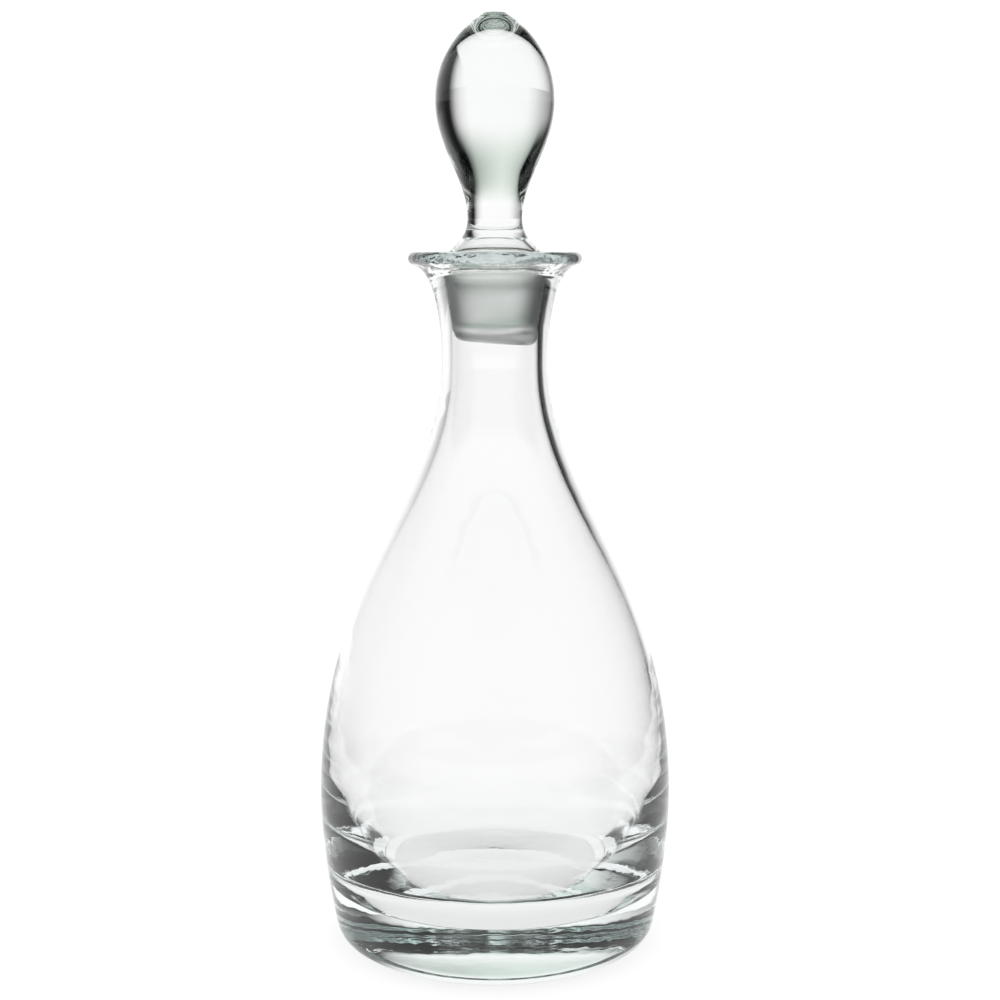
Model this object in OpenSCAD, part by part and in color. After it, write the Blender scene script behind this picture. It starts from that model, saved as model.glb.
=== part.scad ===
// Wine decanter in clear glass: a blown body with a heavy base, and a ground stopper
// made of a hollow tapered plug with a solid pear-shaped knob joined to its top.
// Millimetres, +Z up. The origin is the middle of the flat ring that the body stands on.

/* [Body] */
// Height of the lip above the table
body_h = 233; // [200:1:290]
// Widest diameter, low on the body
belly_d = 119; // [100:1:145]
// Height of the widest place above the table
belly_z = 50; // [42:1:65]
// Thickness of the wall at the widest place
belly_wall = 4.2; // [2.5:0.1:6]
// Outer diameter of the flat ring that stands on the table
foot_d = 93; // [74:1:98]
// Radius of the rounded heel between that ring and the wall
heel_r = 8.1; // [5:0.1:9.5]
// Lean of the wall where the heel ends, in degrees from upright
heel_lean = 12; // [4:1:18]

/* [Base] */
// Thickness of the solid glass under the floor
base_t = 18; // [8:0.5:24]
// Diameter of the flat part of the floor inside
floor_d = 72; // [50:1:76]
// Radius of the corner between that floor and the wall
corner_r = 4; // [2:0.5:6]
// Slope of the wall where it comes down to that corner, in degrees
corner_slope = 42; // [34:1:52]
// Diameter of the shallow hollow ground under the base
punt_d = 50; // [30:1:64]
// Depth of that hollow
punt_depth = 1.2; // [0.5:0.1:3]

/* [Neck and lip] */
// Diameter of the bore through the neck
bore_d = 28.6; // [22:0.1:35]
// Thickness of the wall at the neck's waist
neck_wall = 3.3; // [2:0.1:5]
// Diameter over the lip
lip_d = 57.4; // [54:0.1:70]
// Thickness of the rounded lip
lip_t = 4.1; // [3:0.1:5]
// Rise of the flare where it meets the lip, in degrees
flare_rise = 15; // [5:1:25]

/* [Stopper plug] */
// Slope of the ground seat and plug, in degrees from upright
taper = 8.9; // [4:0.1:11]
// Distance from the lip's top down to the upper edge of the seat
seat_depth = 7; // [5.5:0.1:8.5]
// Height of the seat in the neck
seat_h = 17; // [13:0.5:20]
// Distance from the lower end of the seat down to the neck's waist
waist_gap = 12; // [9:0.5:18]
// Gap between the ground plug and its seat
seat_gap = 0.08; // [0.02:0.01:0.1]
// Length of the plug below the seat
plug_reach = 5.5; // [3:0.5:8]
// Tilt of the hand-ground end of the plug, in degrees
end_tilt = 4.5; // [0:0.5:6]
// Radius of the plug's rounded end
end_r = 3; // [1.5:0.1:4]
// Thickness of the plug's wall
plug_wall = 2.6; // [1.8:0.1:3.5]
// Thickness of the plug's end at the middle
end_t = 2.2; // [1.8:0.1:5]
// How far the polished rim stands out past the ground cone
rim_step = 1; // [0.5:0.1:1.2]
// Height of the rim above the upper edge of the seat
rim_rise = 5.3; // [4.2:0.1:6.5]
// Height of the collar, from the rim up to the joint with the knob
collar_h = 6.4; // [5:0.1:9]

/* [Stopper knob] */
// Diameter of the knob
knob_d = 39; // [32:0.5:48]
// Height of the knob's widest place above its joint with the plug
knob_z = 44.3; // [36:0.1:54]
// Height of the knob's top above its widest place
crown_h = 27.8; // [22:0.1:34]
// Diameter of the stem
stem_d = 18; // [14:0.1:19]
// Diameter of the stem's foot where it is joined to the plug
joint_d = 21.9; // [20.5:0.1:24]
// Diameter of the polished spot on the crown
crown_d = 8.8; // [6:0.1:11]
// Depth of the dish ground into that spot
crown_dish = 0.5; // [0.2:0.1:0.9]

/* [Hidden] */
$fn = 96;

belly_r = belly_d / 2;
foot_r = foot_d / 2;
floor_r = floor_d / 2;
punt_r = punt_d / 2;
bore_r = bore_d / 2;
bead_r = lip_t / 2;
stem_r = stem_d / 2;
knob_r = knob_d / 2;
joint_r = joint_d / 2;
crown_r = crown_d / 2;

// Heights of the places that the curves run between
seat_top = body_h - seat_depth;
seat_z = seat_top - seat_h;
waist_z = seat_z - waist_gap;
plug_top = seat_top + rim_rise / 3;
plug_end = seat_z - plug_reach;
rim_z = seat_top + rim_rise;
joint_z = rim_z + collar_h;
widest_z = joint_z + knob_z;
crown_z = widest_z + crown_h;

// Radius of the neck's ground seat, and of the plug in it, at height z
function seat_r(z) = bore_r + (z - seat_z) * tan(taper);
function plug_r(z) = seat_r(z) - seat_gap;

// Shapes of the curves: each handle is a share of the height that its curve climbs
low_pull = 0.506;
high_pull = 0.297;
inner_low_pull = 0.478;
inner_high_pull = 0.37;

// n + 1 points along an arc of radius r, from one angle to another
function arc(centre, r, from, to, n) =
    [for (i = [0:n]) let (a = from + (to - from) * i / n) centre + r * [cos(a), sin(a)]];

// n points along a cubic curve from a to d, without a itself, pulled towards b and c
function curve(a, b, c, d, n) =
    [for (i = [1:n]) let (t = i / n, s = 1 - t)
        s * s * s * a + 3 * s * s * t * b + 3 * s * t * t * c + t * t * t * d];

// A step of length l in the direction of angle a
function step(l, a) = l * [cos(a), sin(a)];

// n + 1 points of a shallow dish of radius r and depth d, from its middle to its edge
function dish(r, d, n) =
    let (big = (r * r + d * d) / (2 * d))
    arc([0, d - big], big, 90, 90 - asin(r / big), n);

// Underside, heel, wall and flare, from the axis out and up to the lip
function body_outside() =
    let (heel = arc([foot_r, heel_r], heel_r, -90, -heel_lean, 10),
         heel_end = heel[len(heel) - 1],
         belly = [belly_r, belly_z],
         waist = [bore_r + neck_wall, waist_z],
         climb = waist_z - belly_z,
         flare_h = body_h - waist_z,
         rise = belly_z - heel_end[1],
         lip = arc([lip_d / 2 - bead_r, body_h - bead_r], bead_r, flare_rise - 90, 90 + flare_rise, 16))
    concat(
        dish(punt_r, punt_depth, 6),
        heel,
        curve(heel_end, heel_end + step(rise * 0.2, 90 - heel_lean), belly - [0, rise * 0.33], belly, 10),
        curve(belly, belly + [0, climb * low_pull], waist - [0, climb * high_pull], waist, 36),
        curve(waist, waist + [0, flare_h * 0.14], lip[0] - step(flare_h * 0.26, flare_rise), lip[0], 16),
        lip);

// Flare, seat, bore, shoulder and floor, from the lip in and down to the axis
function body_inside() =
    let (mouth = [lip_d / 2 - bead_r, body_h - bead_r] + step(bead_r, 90 + flare_rise),
         seat_edge = [seat_r(seat_top), seat_top],
         waist = [bore_r, waist_z],
         belly = [belly_r - belly_wall, belly_z + 12],
         climb = waist_z - belly[1],
         drop = belly[1] - base_t,
         corner = arc([floor_r, base_t + corner_r], corner_r, corner_slope - 90, -90, 6))
    concat(
        curve(mouth, mouth - step(seat_depth * 0.87, flare_rise), seat_edge + step(seat_depth * 0.27, 90 - taper),
              seat_edge, 12),
        [[bore_r, seat_z]],
        [waist],
        curve(waist, waist - [0, climb * inner_high_pull], belly + [0, climb * inner_low_pull], belly, 36),
        curve(belly, belly - [0, drop * 0.43], corner[0] + step(drop * 0.27, corner_slope), corner[0], 20),
        [for (i = [1:len(corner) - 1]) corner[i]],
        [[0, base_t]]);

// One blown piece: walls, thick base and fire-polished lip
module decanter_body() {
    color([0.86, 0.92, 0.92, 0.45])
        rotate_extrude()
            polygon(concat(body_outside(), body_inside()));
}

// Outside of the plug and its collar as one long cone, before its end is ground off
module plug_blank() {
    rim_r = plug_r(plug_top) + rim_step;
    edge_r = 0.8;
    edge = arc([rim_r - edge_r, rim_z - edge_r], edge_r, 0, 60, 6);
    rim = edge[len(edge) - 1];
    foot = [joint_r, joint_z];
    rotate_extrude()
        polygon(concat(
            [[0, plug_end - 6], [plug_r(plug_end - 6), plug_end - 6], [plug_r(plug_top), plug_top]],
            edge,
            curve(rim, rim + step(2.4, 150), foot + step(3, -52), foot, 12),
            [[0, joint_z]]));
}

// Rounded cup that leaves the plug's end, tilted by the hand that ground it
module end_cup() {
    cup_r = plug_r(plug_end) + 0.6;
    top = joint_z + 10 - plug_end;
    translate([0, 0, plug_end])
        rotate([0, end_tilt, 0])
            rotate_extrude()
                polygon(concat(
                    [[0, 0]],
                    arc([cup_r - end_r, end_r], end_r, -90, 0, 8),
                    [[cup_r + top * tan(taper + end_tilt), top], [0, top]]));
}

// Blown hollow inside the plug: it follows the outside and opens under the knob
module plug_hollow() {
    floor_z = plug_end + end_t;
    low = [plug_r(floor_z + 5) - plug_wall, floor_z + 5];
    high = [plug_r(plug_top) - plug_wall, plug_top];
    throat = [joint_r - plug_wall, joint_z];
    rotate_extrude()
        polygon(concat(
            [[0, floor_z]],
            curve([0, floor_z], [low[0] * 0.6, floor_z], low - step(3.5, 90 - taper), low, 12),
            curve(low, low + step(4, 90 - taper), high - step(4, 90 - taper), high, 4),
            curve(high, high + step(2.6, 90 - taper), throat + step(4, -52), throat, 12),
            [[throat[0], joint_z + 1], [0, joint_z + 1]]));
}

// Hollow ground plug and the flared collar above it
module stopper_plug() {
    color([0.72, 0.75, 0.74, 0.7])
        difference() {
            intersection() {
                plug_blank();
                end_cup();
            }
            plug_hollow();
        }
}

// Solid knob: foot, stem, pear and the polished spot where the pontil rod was broken off
module stopper_knob() {
    foot = [joint_r, joint_z];
    stem = [stem_r, joint_z + 6.3];
    widest = [knob_r, widest_z];
    spot = [crown_r, crown_z - 0.5];
    climb = widest_z - stem[1];
    spot_dish = dish(crown_r - 0.6, crown_dish, 4);
    last = len(spot_dish) - 1;
    color([0.8, 0.9, 0.86, 0.55])
        rotate_extrude()
            polygon(concat(
                [[0, joint_z], foot],
                curve(foot, foot + step(1.9, 128), stem - [0, 2.2], stem, 8),
                curve(stem, stem + [0, climb * 0.33], widest - [0, climb * 0.39], widest, 24),
                curve(widest, widest + [0, crown_h * 0.5], spot + step(crown_h * 0.3, -32), spot, 20),
                [for (i = [0:last]) [spot_dish[last - i][0], crown_z - spot_dish[last - i][1]]]));
}

decanter_body();
stopper_plug();
stopper_knob();
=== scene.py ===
# %% [markdown]
# # A wine decanter in clear glass
# This lesson builds the looks of a glass decanter around its fixed CAD frame. The real object is
# three pieces of glass. The body is blown, with a heavy base and a fire-polished lip. The plug is
# a cone, ground to fit the neck, and is taken to be hollow. The knob is solid, and it is joined
# hot to the plug.
# All three are round, so each is drawn as half an outline and spun about the same upright axis.
# Lengths in the script are in metres, and an outline is a list of points (radius, height).

# %% Load the fixed frame
import math

import bpy
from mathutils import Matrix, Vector


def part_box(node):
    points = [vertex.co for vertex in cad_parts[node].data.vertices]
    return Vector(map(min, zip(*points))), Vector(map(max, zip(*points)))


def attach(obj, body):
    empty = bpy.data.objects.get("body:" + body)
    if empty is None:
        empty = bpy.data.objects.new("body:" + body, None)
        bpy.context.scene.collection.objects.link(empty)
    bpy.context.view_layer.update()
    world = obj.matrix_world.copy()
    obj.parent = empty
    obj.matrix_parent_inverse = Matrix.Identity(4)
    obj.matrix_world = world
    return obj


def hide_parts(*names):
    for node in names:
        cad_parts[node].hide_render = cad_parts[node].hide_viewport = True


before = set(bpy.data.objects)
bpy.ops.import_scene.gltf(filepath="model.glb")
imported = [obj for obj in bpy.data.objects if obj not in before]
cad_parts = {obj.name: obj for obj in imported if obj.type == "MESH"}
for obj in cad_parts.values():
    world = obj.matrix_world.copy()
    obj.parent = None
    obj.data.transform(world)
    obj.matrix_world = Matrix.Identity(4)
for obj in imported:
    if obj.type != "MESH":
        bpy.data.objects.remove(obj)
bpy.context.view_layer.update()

MM = 0.001
body_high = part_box("decanter_body")[1]
knob_low, knob_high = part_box("stopper_knob")
print("lip at", round(body_high.z, 4), "knob from", round(knob_low.z, 4), "to", round(knob_high.z, 4))

# %% [markdown]
# ## Drawing an outline
# A glassmaker's drawing has few kinds of line: straight, round, and one long easy sweep. The
# helpers below draw them. A step is a move in a direction, an arc goes round a centre, a curve
# leaves one point towards a handle and reaches the next from a second handle, and a dish is the
# shallow hollow that a grinding wheel leaves.


# %% Outline helpers
def at(radius, height):
    """A point of an outline."""
    return Vector((radius, height))


def step(length, angle):
    """A move of that length in the direction of that angle, in degrees from straight out."""
    a = math.radians(angle)
    return Vector((length * math.cos(a), length * math.sin(a)))


def arc(centre, radius, start, end, parts):
    """Points along an arc, both ends included."""
    turn = (end - start) / parts
    return [centre + step(radius, start + turn * i) for i in range(parts + 1)]


def curve(a, b, c, d, parts):
    """Points along a cubic curve from a to d, pulled towards b and c, without a itself."""
    points = []
    for i in range(1, parts + 1):
        t = i / parts
        s = 1 - t
        points.append(s ** 3 * a + 3 * s * s * t * b + 3 * s * t * t * c + t ** 3 * d)
    return points


def dish(radius, depth, parts):
    """A shallow round hollow, from its middle to its edge."""
    sphere = (radius ** 2 + depth ** 2) / (2 * depth)
    edge = 90 - math.degrees(math.asin(radius / sphere))
    return arc(at(0, depth - sphere), sphere, 90, edge, parts)


# %% [markdown]
# ## From outline to glass
# By hand one would keep a single vertex, extrude it from point to point along the outline, and
# spin the chain of edges once round the Z axis. The same operators do it here. A screw modifier
# could turn the outline too, but the spin leaves a plain mesh that can be shaped further. The
# seam and the poles are then merged, because light only bends correctly through a closed skin
# whose faces all point outwards. Shading is smooth, except at real edges.


# %% The spin
SEAM = 0.002 * MM
SHARP = math.radians(28)


def deselect_all():
    """Leaves nothing selected, because an operator acts on all that is."""
    bpy.ops.object.select_all(action="DESELECT")


def edit(piece):
    """Opens a piece in edit mode, with nothing else selected."""
    deselect_all()
    piece.select_set(True)
    bpy.context.view_layer.objects.active = piece
    bpy.ops.object.mode_set(mode="EDIT")


def spun_glass(name, outline, segments):
    """One closed piece of glass, from an outline spun about the Z axis."""
    deselect_all()
    first = outline[0]
    bpy.ops.mesh.primitive_plane_add(size=MM, location=(first.x, 0, first.y))
    piece = bpy.context.object
    piece.name = piece.data.name = name
    bpy.ops.object.transform_apply(location=True)
    edit(piece)
    bpy.ops.mesh.select_mode(type="VERT")
    bpy.ops.mesh.select_all(action="SELECT")
    bpy.ops.mesh.merge(type="CENTER")
    for here, there in zip(outline, outline[1:]):
        move = there - here
        bpy.ops.mesh.extrude_vertices_move(TRANSFORM_OT_translate={"value": (move.x, 0, move.y)})
    bpy.ops.mesh.select_all(action="SELECT")
    bpy.ops.mesh.spin(steps=segments, angle=math.tau, center=(0, 0, 0), axis=(0, 0, 1))
    bpy.ops.mesh.select_all(action="SELECT")
    bpy.ops.mesh.remove_doubles(threshold=SEAM)
    bpy.ops.mesh.normals_make_consistent(inside=False)
    bpy.ops.object.mode_set(mode="OBJECT")
    bpy.ops.object.shade_smooth_by_angle(angle=SHARP)
    print(name, "has", len(piece.data.polygons), "faces")
    return piece


# %% [markdown]
# ## The body, outside
# The decanter stands on a flat ring round a shallow ground hollow. A rounded heel leads into the
# belly, which is widest low down, and one long sweep climbs from there to the neck's waist. The
# neck flares out to a thick lip, which the fire has rounded.

# %% The body's outside
belly_r = body_high.x
lip_z = body_high.z
foot_r = 46.5 * MM
punt_r = 25 * MM
PUNT_DEPTH = 1.2 * MM
heel_r = 8.1 * MM
HEEL_LEAN = 12
belly_z = 50 * MM
bore_r = 14.3 * MM
neck_wall = 3.3 * MM
lip_r = 28.7 * MM
bead_r = 2.05 * MM
FLARE_RISE = 15
TAPER = 8.9
SEAT_DEPTH = 7 * MM
SEAT_HEIGHT = 17 * MM
WAIST_GAP = 12 * MM
seat_top = lip_z - SEAT_DEPTH
seat_z = seat_top - SEAT_HEIGHT
waist_z = seat_z - WAIST_GAP

heel = arc(at(foot_r, heel_r), heel_r, -90, -HEEL_LEAN, 14)
rise = belly_z - heel[-1].y
belly = at(belly_r, belly_z)
climb = waist_z - belly_z
waist = at(bore_r + neck_wall, waist_z)
flare_h = lip_z - waist_z
lip = arc(at(lip_r - bead_r, lip_z - bead_r), bead_r, FLARE_RISE - 90, 90 + FLARE_RISE, 20)
outside = dish(punt_r, PUNT_DEPTH, 6) + heel
outside += curve(heel[-1], heel[-1] + step(rise * 0.2, 90 - HEEL_LEAN), belly - at(0, rise * 0.33),
                 belly, 14)
outside += curve(belly, belly + at(0, climb * 0.506), waist - at(0, climb * 0.297), waist, 60)
outside += curve(waist, waist + at(0, flare_h * 0.14), lip[0] - step(flare_h * 0.26, FLARE_RISE),
                 lip[0], 20)
outside += lip[1:]
print("the outside has", len(outside), "points")

# %% [markdown]
# ## The body, inside
# The inside follows the outside, but thicker below: the glass settles into the base while it is
# soft. It meets the flat floor in a tight corner. Turning in a wet wooden mould leaves very
# shallow rings in the wall. They are far too low to feel, but they draw thin bright lines where
# the glass is seen edge on, so they are real shape here and not only shading.

# %% The body's inside
base_t = 18 * MM
floor_r = 36 * MM
corner_r = 4 * MM
CORNER_SLOPE = 42
belly_wall = 4.2 * MM
INNER_RISE = 12 * MM
RING_PITCH = 9.5 * MM
RING_HEIGHT = 0.02 * MM


def seat_r(z):
    """Radius of the ground seat in the neck at height z."""
    return bore_r + (z - seat_z) * math.tan(math.radians(TAPER))


def ringed(points):
    """The same wall with shallow mould rings."""
    return [p + at(RING_HEIGHT * math.sin(math.tau * p.y / RING_PITCH), 0) for p in points]


inner_belly = at(belly_r - belly_wall, belly_z + INNER_RISE)
inner_waist = at(bore_r, waist_z)
inner_climb = waist_z - inner_belly.y
drop = inner_belly.y - base_t
corner = arc(at(floor_r, base_t + corner_r), corner_r, CORNER_SLOPE - 90, -90, 8)
seat_edge = at(seat_r(seat_top), seat_top)
inside = curve(lip[-1], lip[-1] - step(6.1 * MM, FLARE_RISE),
               seat_edge + step(1.9 * MM, 90 - TAPER), seat_edge, 14)
inside += [at(bore_r, seat_z), inner_waist]
inside += ringed(curve(inner_waist, inner_waist - at(0, inner_climb * 0.37),
                       inner_belly + at(0, inner_climb * 0.478), inner_belly, 80))
inside += ringed(curve(inner_belly, inner_belly - at(0, drop * 0.43),
                       corner[0] + step(drop * 0.27, CORNER_SLOPE), corner[0], 40))
inside += corner[1:] + [at(0, base_t)]

body = spun_glass("decanter_glass", outside + inside, 192)
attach(body, "decanter")
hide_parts("decanter_body")

# %% [markdown]
# ## The plug
# The plug is drawn as a piece of tube, closed at its lower end. Its cone is ground to the neck, with
# 0.08 mm between them. Above the cone a polished rim stands out, and a collar leads in to the
# joint with the knob. The hollow follows the outside, so the outline runs up the outside, across
# the open ring at the joint, and down the hollow.

# %% The plug
SEAT_GAP = 0.08 * MM
JOINT_GAP = 0.01 * MM
joint_z = knob_low.z
joint_r = 10.95 * MM
PLUG_REACH = 5.5 * MM
RIM_RISE = 5.3 * MM
RIM_STEP = 1 * MM
plug_end = seat_z - PLUG_REACH
plug_top = seat_top + RIM_RISE / 3
rim_z = seat_top + RIM_RISE
rim_edge_r = 0.8 * MM
end_r = 3 * MM
plug_wall = 2.6 * MM
end_t = 2.2 * MM
UPRIGHT_FROM = 1.2 * MM
BEND_RISE = 5 * MM


def plug_r(z):
    """Radius of the ground cone at height z."""
    return seat_r(z) - SEAT_GAP


rim_centre = at(plug_r(plug_top) + RIM_STEP - rim_edge_r, rim_z - rim_edge_r)
rim = arc(rim_centre, rim_edge_r, 0, 60, 6)
foot = at(joint_r, joint_z)
end_centre = at(plug_r(plug_end) - end_r * 0.86, plug_end + end_r)
plug_outside = [at(0, plug_end)] + arc(end_centre, end_r, -90, -TAPER, 10)
cone_z = plug_end + end_r + UPRIGHT_FROM
plug_outside += [at(plug_r(cone_z), cone_z), at(plug_r(plug_top), plug_top)] + rim
plug_outside += curve(rim[-1], rim[-1] + step(2.4 * MM, 150), foot + step(3 * MM, -52),
                      foot - at(0, JOINT_GAP), 14)

floor_z = plug_end + end_t
bend_z = floor_z + BEND_RISE
low = at(plug_r(bend_z) - plug_wall, bend_z)
high = at(plug_r(plug_top) - plug_wall, plug_top)
throat = at(joint_r - plug_wall, joint_z - JOINT_GAP)
hollow = [at(0, floor_z)]
hollow += curve(at(0, floor_z), at(low.x * 0.6, floor_z), low - step(3.5 * MM, 90 - TAPER), low, 14)
hollow += curve(low, low + step(4 * MM, 90 - TAPER), high - step(4 * MM, 90 - TAPER), high, 6)
hollow += curve(high, high + step(2.6 * MM, 90 - TAPER), throat + step(4 * MM, -52), throat, 14)
plug = spun_glass("stopper_plug_glass", plug_outside + hollow[::-1], 160)

# %% [markdown]
# ## The hand-ground end
# The end of a plug is ground flat by hand once it fits, and this one came out a little slanted.
# Only the outer end turns, so its vertices are picked by their place, and the hollow's floor above
# them is left as it is. The turn is about the middle of the end. The cone has one more ring just
# above the end, so that only the last few millimetres lean and the cone stays true in its seat.
# With no window the operator turns the other way, which is why the angle has a minus.

# %% Slant the plug's end
END_TILT = math.radians(4.5)
END_CORE_R = 10 * MM
END_SKIN = 1 * MM


def is_end(v):
    """True for a vertex of the plug's outer end and its rounded edge."""
    outer = math.hypot(v.co.x, v.co.y) > END_CORE_R or v.co.z < plug_end + END_SKIN
    return outer and v.co.z < plug_end + end_r


edit(plug)
bpy.ops.mesh.select_all(action="DESELECT")
bpy.ops.object.mode_set(mode="OBJECT")
for vertex in plug.data.vertices:
    vertex.select = is_end(vertex)
bpy.ops.object.mode_set(mode="EDIT")
bpy.ops.transform.rotate(value=-END_TILT, orient_axis="Y", center_override=(0, 0, plug_end))
bpy.ops.object.mode_set(mode="OBJECT")
lowest = min(plug.data.vertices, key=lambda v: v.co.z).co
print("the end is lowest at x", round(lowest.x, 4), "z", round(lowest.z, 4))
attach(plug, "stopper")
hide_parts("stopper_plug")

# %% [markdown]
# ## The knob
# The knob is a solid drop of glass. A flared foot sits on the plug, a short stem leads up into the
# pear, and on the crown is the polished spot where the iron rod that held it was broken off. The
# spot is a shallow dish. A gap thinner than a hair keeps the two skins apart.

# %% The knob
stem_r = 9 * MM
spot_r = 4.4 * MM
WIDEST_RISE = 44.3 * MM
STEM_RISE = 6.3 * MM
SPOT_DROP = 0.5 * MM
SPOT_EDGE = 0.6 * MM
DISH_DEPTH = 0.5 * MM
crown_z = knob_high.z
widest = at(knob_high.x, joint_z + WIDEST_RISE)
stem = at(stem_r, joint_z + STEM_RISE)
spot = at(spot_r, crown_z - SPOT_DROP)
crown_h = crown_z - widest.y
knob_climb = widest.y - stem.y
knob_outline = [at(0, joint_z), foot]
knob_outline += curve(foot, foot + step(1.9 * MM, 128), stem - at(0, 2.2 * MM), stem, 10)
knob_outline += curve(stem, stem + at(0, knob_climb * 0.33), widest - at(0, knob_climb * 0.39),
                      widest, 44)
knob_outline += curve(widest, widest + at(0, crown_h * 0.5), spot + step(crown_h * 0.3, -32), spot, 34)
spot_dish = dish(spot_r - SPOT_EDGE, DISH_DEPTH, 5)
knob_outline += [at(p.x, crown_z - p.y) for p in reversed(spot_dish)]
knob = spun_glass("stopper_knob_glass", knob_outline, 160)
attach(knob, "stopper")
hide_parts("stopper_knob")

# %% [markdown]
# ## Small helpers for the shader nodes
# Every finish below is a few nodes, so three helpers save repeating how a node is added and wired.
# An input is either a plain value or the output of another node.


# %% Node helpers
def add_node(tree, kind, inputs=(), **settings):
    """A node with its settings, and its inputs given by name or number."""
    made = tree.nodes.new(kind)
    for key, value in settings.items():
        setattr(made, key, value)
    for key, value in dict(inputs).items():
        if isinstance(value, bpy.types.NodeSocket):
            tree.links.new(value, made.inputs[key])
        else:
            made.inputs[key].default_value = value
    return made


def math_node(tree, operation, a, b=0.0):
    """The result of one sum on two values or outputs."""
    return add_node(tree, "ShaderNodeMath", {0: a, 1: b}, operation=operation).outputs[0]


def fade(tree, value, start, end, low=0.0, high=1.0):
    """A smooth change from low to high while value goes from start to end."""
    inputs = {"Value": value, "From Min": start, "From Max": end, "To Min": low, "To Max": high}
    return add_node(tree, "ShaderNodeMapRange", inputs, interpolation_type="SMOOTHSTEP").outputs[0]


# %% [markdown]
# ## Glass
# Clear glass has three parts: a smooth surface that bends light by its index, an edge tint that
# grows with the length of the path, and small unevenness that shows in its reflections. A glass
# shader with a coloured surface would tint a thin wall as much as a thick base, so the tint is
# volume absorption instead. The unevenness is bump, with its height in metres.

# %% Glass
GLASS_INDEX = 1.52


def noise(tree, place, scale, detail=2.0):
    """A soft noise between 0 and 1, scale lumps to the metre."""
    inputs = {"Vector": place, "Scale": scale, "Detail": detail}
    return add_node(tree, "ShaderNodeTexNoise", inputs).outputs[0]


def glass(name, tint, density):
    """A glass material, its tree, its shader and an output with the place on the piece."""
    material = bpy.data.materials.new(name)
    material.use_nodes = True
    tree = material.node_tree
    shader = tree.nodes["Principled BSDF"]
    shader.inputs["Base Color"].default_value = (1, 1, 1, 1)
    shader.inputs["Transmission Weight"].default_value = 1
    shader.inputs["IOR"].default_value = GLASS_INDEX
    absorb = add_node(tree, "ShaderNodeVolumeAbsorption", {"Color": (*tint, 1), "Density": density})
    tree.links.new(absorb.outputs[0], tree.nodes["Material Output"].inputs["Volume"])
    place = add_node(tree, "ShaderNodeTexCoord").outputs["Object"]
    return material, tree, shader, place


def set_relief(tree, shader, height):
    """Bump from a height in metres."""
    relief = add_node(tree, "ShaderNodeBump", {"Strength": 1.0, "Distance": 1.0, "Height": height})
    tree.links.new(relief.outputs[0], shader.inputs["Normal"])


# %% [markdown]
# ## The body's glass
# Blown glass is smooth but never quite true: broad soft swells run round it. The lip is rounded in
# the flame, which leaves it lumpy, and so is the corner where the wall meets the floor. The three
# kinds of unevenness are three noises. The lip's fades out below it, and the corner's above it.

# %% Body glass
BODY_TINT = (0.62, 0.78, 0.76)
BODY_DENSITY = 2.6
SWELL = 0.00004
SWELL_SCALE = 30
LIP_LUMPS = 0.00060
LIP_SCALE = 170
CORNER_LUMPS = 0.00012
CORNER_SCALE = 90
BODY_BLOOM = 0.012
BODY_BLOOM_SCALE = 14

clear, tree, shader, place = glass("clear_glass", BODY_TINT, BODY_DENSITY)
level = add_node(tree, "ShaderNodeSeparateXYZ", {0: place}).outputs["Z"]
wide = add_node(tree, "ShaderNodeMapping", {"Vector": place, "Scale": (1, 1, 2.2)}).outputs[0]
at_lip = fade(tree, level, lip_z - 6 * MM, lip_z - 4 * MM)
at_corner = fade(tree, level, base_t + 16 * MM, base_t + 6 * MM)
swell = math_node(tree, "MULTIPLY", noise(tree, wide, SWELL_SCALE), SWELL)
lip_lumps = math_node(tree, "MULTIPLY", noise(tree, place, LIP_SCALE), at_lip)
corner_lumps = math_node(tree, "MULTIPLY", noise(tree, place, CORNER_SCALE), at_corner)
height = math_node(tree, "ADD", swell, math_node(tree, "MULTIPLY", lip_lumps, LIP_LUMPS))
height = math_node(tree, "ADD", height, math_node(tree, "MULTIPLY", corner_lumps, CORNER_LUMPS))
set_relief(tree, shader, height)
bloom = fade(tree, noise(tree, place, BODY_BLOOM_SCALE), 0.35, 0.75, 0.0, BODY_BLOOM)
tree.links.new(bloom, shader.inputs["Roughness"])
body.data.materials.append(clear)
print("the body's glass has", len(tree.nodes), "nodes")

# %% [markdown]
# ## The knob's glass
# The knob is thick, so its faint green tint shows. Its surface was fire-polished as it was turned
# on the iron, which leaves fine level ripples round it.

# %% Knob glass
KNOB_TINT = (0.58, 0.74, 0.64)
KNOB_DENSITY = 2.8
RIPPLE = 0.000006
RIPPLE_SCALE = 420
KNOB_SWELL_SCALE = 60
KNOB_BLOOM = 0.010
KNOB_BLOOM_SCALE = 40

knob_glass, tree, shader, place = glass("knob_glass", KNOB_TINT, KNOB_DENSITY)
level_place = add_node(tree, "ShaderNodeMapping", {"Vector": place, "Scale": (0.15, 0.15, 1)}).outputs[0]
ripple = math_node(tree, "MULTIPLY", noise(tree, level_place, RIPPLE_SCALE), RIPPLE)
swell = math_node(tree, "MULTIPLY", noise(tree, place, KNOB_SWELL_SCALE), SWELL / 2)
set_relief(tree, shader, math_node(tree, "ADD", ripple, swell))
bloom = fade(tree, noise(tree, place, KNOB_BLOOM_SCALE), 0.35, 0.75, 0.0, KNOB_BLOOM)
tree.links.new(bloom, shader.inputs["Roughness"])
knob.data.materials.append(knob_glass)

# %% [markdown]
# ## Ground glass
# Grinding with wet grit turns the plug's cone and end from clear to grey: each grain leaves a pit
# that scatters light. Roughness does the scattering, a fine noise gives the pits, and a wave
# gives the level scratches of the turning plug. The top of the cone, the rim, the collar and the
# hollow stay polished, so the piece has two finishes, and the ground one is given to faces picked
# by their place.

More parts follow.
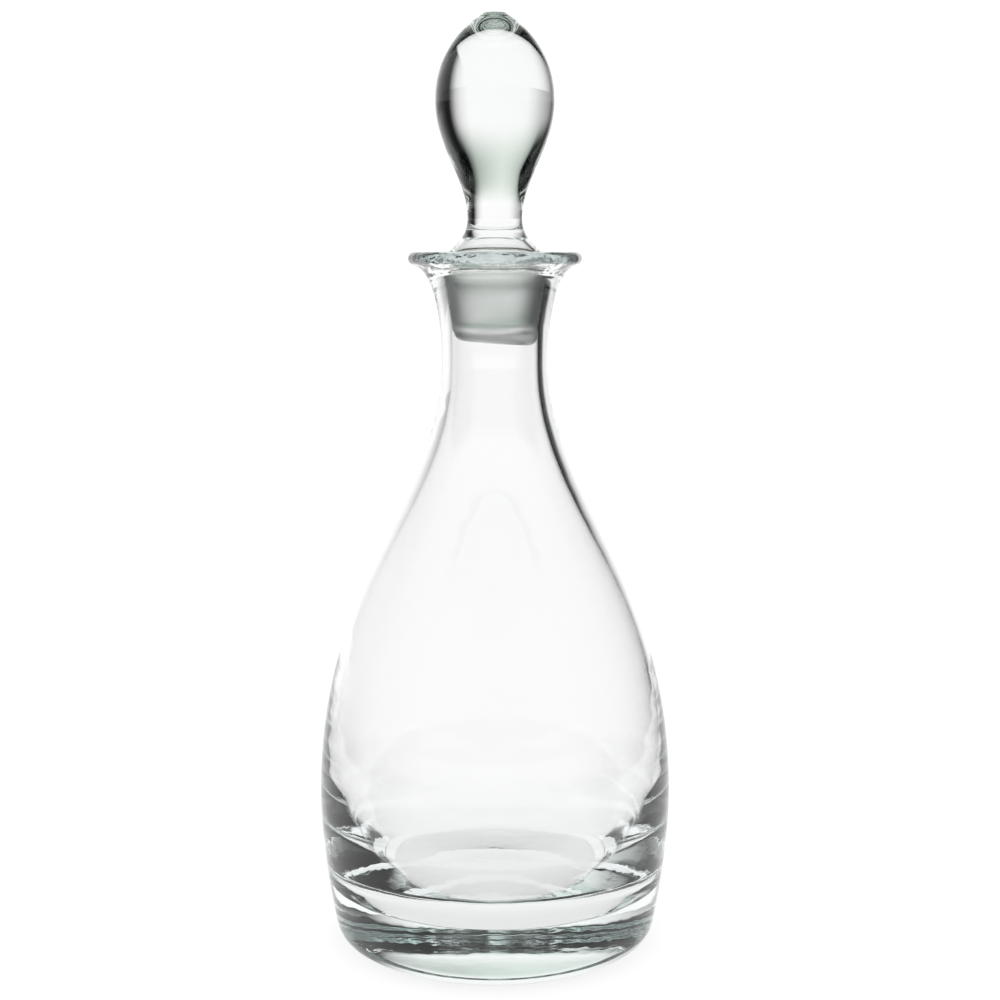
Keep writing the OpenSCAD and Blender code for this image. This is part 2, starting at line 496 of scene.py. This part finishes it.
# %% Ground glass
PIT = 0.000010
PIT_SCALE = 2600
SCRATCH = 0.000004
SCRATCH_SCALE = 700
PATCH_SCALE = 160
SMOOTHEST = 0.36
ROUGHEST = 0.46
POLISHED_TOP = 3.2 * MM
END_FACES = 1.4 * MM
ground_top = seat_top - POLISHED_TOP

ground, tree, shader, place = glass("ground_glass", KNOB_TINT, KNOB_DENSITY)
patches = noise(tree, place, PATCH_SCALE)
pits = math_node(tree, "MULTIPLY", noise(tree, place, PIT_SCALE), PIT)
wave_inputs = {"Vector": place, "Scale": SCRATCH_SCALE, "Distortion": 2.0, "Detail": 2.0}
waves = add_node(tree, "ShaderNodeTexWave", wave_inputs, bands_direction="Z").outputs["Fac"]
scratches = math_node(tree, "MULTIPLY", waves, SCRATCH)
set_relief(tree, shader, math_node(tree, "ADD", pits, scratches))
tree.links.new(fade(tree, patches, 0.3, 0.7, SMOOTHEST, ROUGHEST), shader.inputs["Roughness"])
polished = knob_glass.copy()
polished.name = "polished_glass"
plug.data.materials.append(polished)
plug.data.materials.append(ground)


def is_ground(face):
    """True for a face of the plug's outer cone or its end."""
    centre = face.center
    radius = math.hypot(centre.x, centre.y)
    outward = face.normal.x * centre.x + face.normal.y * centre.y > 0
    cone = outward and radius > plug_r(centre.z) - plug_wall / 2
    end = centre.z < plug_end + END_FACES and face.normal.z < -0.5
    return centre.z < ground_top and (cone or end)


edit(plug)
bpy.ops.mesh.select_mode(type="FACE")
bpy.ops.mesh.select_all(action="DESELECT")
bpy.ops.object.mode_set(mode="OBJECT")
for face in plug.data.polygons:
    face.select = is_ground(face)
print("ground faces:", sum(face.select for face in plug.data.polygons))
bpy.ops.object.mode_set(mode="EDIT")
plug.active_material_index = 1
bpy.ops.object.material_slot_assign()
bpy.ops.object.mode_set(mode="OBJECT")

# %% [markdown]
# ## The studio
# Glass has no look of its own: it shows what stands round it. Clear glass is photographed in front
# of a bright white sheet, between black boards, so that the middle is clear and the edges are
# drawn in black. The set here is a round room whose brightness changes with the direction: white
# ahead, black at both sides, and dim behind the camera. The sheet is narrower and a little green
# higher up, so the walls have a low list and a high list, and one fades into the other.

# %% Brightness by direction, in degrees to the right of straight ahead
LOW_WALL = [(-180, 0.07), (-132, 0.05), (-114, 0.006), (-78, 0.006), (-70, 0.12), (-61, 0.32),
            (-52, 0.46), (-44, 0.57), (-38, 0.68), (-31, 0.85), (-24, 0.98), (18, 1.0), (25, 0.84),
            (30, 0.58), (34, 0.25), (38, 0.02), (42, 0.006), (108, 0.004), (130, 0.05),
            (180, 0.07)]
HIGH_WALL = [(-180, 0.07), (-132, 0.05), (-114, 0.004), (-48, 0.004), (-44, 0.12), (-40, 0.45),
             (-31, 0.68), (-19, 0.76), (-8, 0.8), (0, 0.72), (8, 0.62), (20, 0.47), (27, 0.20),
             (32, 0.004), (108, 0.004), (130, 0.05), (180, 0.07)]
# The floor's list is painted shade by direction: dark at the sides like the boards, grey towards the
# camera.
FLOOR_PAINTED_SHADE = [(-180, 0.55), (-135, 0.50), (-114, 0.05), (-76, 0.006), (-68, 0.14), (-58, 0.5),
         (-46, 0.85), (-36, 1.0), (22, 1.0), (29, 0.8), (34, 0.35), (38, 0.03), (44, 0.01),
         (108, 0.01), (130, 0.50), (180, 0.55)]
ROOF = [(-90, 1.0), (42, 1.0), (47, 0.01), (90, 0.01)]
LOW_UNTIL = math.radians(14)
HIGH_FROM = math.radians(36)
HIGH_TINT = (0.90, 1.0, 0.92, 1)
STUDIO_LIGHT = 1.06


def ramp(tree, value, stops, lowest, highest):
    """Brightness read off a list of (angle, brightness), where value is 0 to 1 over the angles."""
    made = add_node(tree, "ShaderNodeValToRGB", {"Fac": value})
    steps = made.color_ramp.elements
    while len(steps) < len(stops):
        steps.new(0.5)
    for one, (angle, bright) in zip(steps, stops):
        one.position = (angle - lowest) / (highest - lowest)
        one.color = (bright, bright, bright, 1)
    return made.outputs[0]


def by_direction(tree, direction, stops):
    """Brightness by compass direction."""
    parts = add_node(tree, "ShaderNodeSeparateXYZ", {0: direction}).outputs
    turn = math_node(tree, "ARCTAN2", parts["X"], parts["Y"])
    share = math_node(tree, "DIVIDE", turn, math.tau)
    return ramp(tree, math_node(tree, "ADD", share, 0.5), stops, -180, 180)


# %% [markdown]
# ## The floor
# The floor is a flat disc that glows by itself, as a lit table of milk glass does, so that the
# decanter throws no hard shadow on it. It is white under the glass and ahead of it, as far as the
# sheet reaches. Farther out its glow follows its own list of directions, painted shade that is dark
# at the sides like the boards and grey towards the camera. A soft painted shadow stays under the base.

# %% The floor
FLOOR_R = 14.0
FLOOR_DROP = 0.2 * MM
SHEET_HALF = 0.212
SHEET_FLARE = 0.28
SHEET_EDGE = 0.04
SHEET_FRONT = -0.13
# The floor's glow is dimmed under the base to paint a soft shadow there.
PAINTED_SHADOW = 0.80
EDGE_SHADE = 0.95
BASE_SHADE_R = (40 * MM, 62 * MM)
WIDE_SHADE_R = (60 * MM, 150 * MM)

deselect_all()
bpy.ops.mesh.primitive_circle_add(vertices=128, radius=FLOOR_R, fill_type="NGON",
                                  location=(0, 0, -FLOOR_DROP))
floor = bpy.context.object
floor.name = "floor"
bpy.ops.object.transform_apply(location=True)
floor_finish = bpy.data.materials.new("floor_finish")
floor_finish.use_nodes = True
tree = floor_finish.node_tree
tree.nodes.clear()
place = add_node(tree, "ShaderNodeTexCoord").outputs["Object"]
# Painted shade on the glowing floor: dark at the sides like the boards, grey towards the camera.
far_painted_shade = by_direction(tree, place, FLOOR_PAINTED_SHADE)
parts = add_node(tree, "ShaderNodeSeparateXYZ", {0: place}).outputs
aside = math_node(tree, "ABSOLUTE", parts["X"])
beyond = math_node(tree, "SUBTRACT", aside, math_node(tree, "MULTIPLY", parts["Y"], SHEET_FLARE))
across = fade(tree, beyond, SHEET_HALF + SHEET_EDGE, SHEET_HALF)
along = fade(tree, parts["Y"], SHEET_FRONT - 2 * SHEET_EDGE, SHEET_FRONT)
white = math_node(tree, "MULTIPLY", across, along)
light = math_node(tree, "MAXIMUM", far_painted_shade, white)
# A soft shadow painted into the glow under the base, fading out towards 150 mm.
away = add_node(tree, "ShaderNodeVectorMath", {0: place}, operation="LENGTH").outputs["Value"]
painted_shadow_under = fade(tree, away, *BASE_SHADE_R, PAINTED_SHADOW, EDGE_SHADE)
painted_shadow_fade = fade(tree, away, *WIDE_SHADE_R, EDGE_SHADE, 1.0)
painted_shadow = math_node(tree, "MULTIPLY", painted_shadow_under, math_node(tree, "DIVIDE", painted_shadow_fade, EDGE_SHADE))
glow = math_node(tree, "MULTIPLY", math_node(tree, "MULTIPLY", light, painted_shadow), STUDIO_LIGHT)
lit = add_node(tree, "ShaderNodeEmission", {"Color": (1, 1, 1, 1), "Strength": glow})
add_node(tree, "ShaderNodeOutputMaterial", {"Surface": lit.outputs[0]})
floor.data.materials.append(floor_finish)

# %% [markdown]
# ## The walls of the room
# The rest of the room is the world behind everything. Its brightness follows the two lists of
# directions, times a list by height that ends the sheet at the top, and one weak soft round lamp
# hangs almost overhead.

# %% The walls and the lamp
LAMP_TILT = math.radians(78)
LAMP_CORE = math.radians(10)
LAMP_EDGE = math.radians(20)
LAMP_LIGHT = 0.25

world = bpy.data.worlds.new("studio")
bpy.context.scene.world = world
world.use_nodes = True
tree = world.node_tree
direction = add_node(tree, "ShaderNodeTexCoord").outputs["Generated"]
height = math_node(tree, "ARCSINE", add_node(tree, "ShaderNodeSeparateXYZ", {0: direction}).outputs["Z"])
height_share = math_node(tree, "ADD", math_node(tree, "DIVIDE", height, math.pi), 0.5)
low_part = math_node(tree, "MULTIPLY", by_direction(tree, direction, LOW_WALL),
                     fade(tree, height, LOW_UNTIL, HIGH_FROM, 1.0, 0.0))
high_part = math_node(tree, "MULTIPLY", by_direction(tree, direction, HIGH_WALL),
                      fade(tree, height, LOW_UNTIL, HIGH_FROM))
sheet = math_node(tree, "MULTIPLY", math_node(tree, "ADD", low_part, high_part),
                  ramp(tree, height_share, ROOF, -90, 90))
lamp_way = (0, -math.cos(LAMP_TILT), math.sin(LAMP_TILT))
towards = add_node(tree, "ShaderNodeVectorMath", {0: direction, 1: lamp_way}, operation="DOT_PRODUCT")
lamp = fade(tree, towards.outputs["Value"], math.cos(LAMP_EDGE), math.cos(LAMP_CORE), 0.0, LAMP_LIGHT)
glow = math_node(tree, "ADD", math_node(tree, "MULTIPLY", sheet, STUDIO_LIGHT), lamp)
background = tree.nodes["Background"]
tint = add_node(tree, "ShaderNodeMixRGB", {"Fac": fade(tree, height, LOW_UNTIL, HIGH_FROM),
                                          "Color1": (1, 1, 1, 1), "Color2": HIGH_TINT}).outputs[0]
tree.links.new(tint, background.inputs["Color"])
tree.links.new(glow, background.inputs["Strength"])

# %% [markdown]
# ## The camera
# The camera stands a little over half a metre in front of the glass, level with the lip, and looks
# slightly down, so that the floor inside the base shows as an ellipse. Light crosses a thick lip or
# base many times before it leaves, so the limit on bounces is raised: with too few, solid glass
# turns black where it should shine.

# %% The camera and the light paths
CAMERA_X = 1.7 * MM
CAMERA_BACK = 599.6 * MM
CAMERA_HEIGHT = 229.8 * MM
LOOK_DOWN = 7.532
LENS = 64.8
BOUNCES = 64

bpy.ops.object.camera_add(location=(CAMERA_X, -CAMERA_BACK, CAMERA_HEIGHT),
                          rotation=(math.radians(90 - LOOK_DOWN), 0, 0))
camera = bpy.context.object
camera.name = "camera"
camera.data.lens = LENS
camera.data.sensor_width = 36
camera.data.clip_start = 10 * MM
scene = bpy.context.scene
scene.camera = camera
scene.cycles.max_bounces = BOUNCES
scene.cycles.transmission_bounces = BOUNCES
scene.cycles.glossy_bounces = BOUNCES // 2
scene.view_settings.view_transform = "Standard"
print("camera at", [round(c, 4) for c in camera.location])
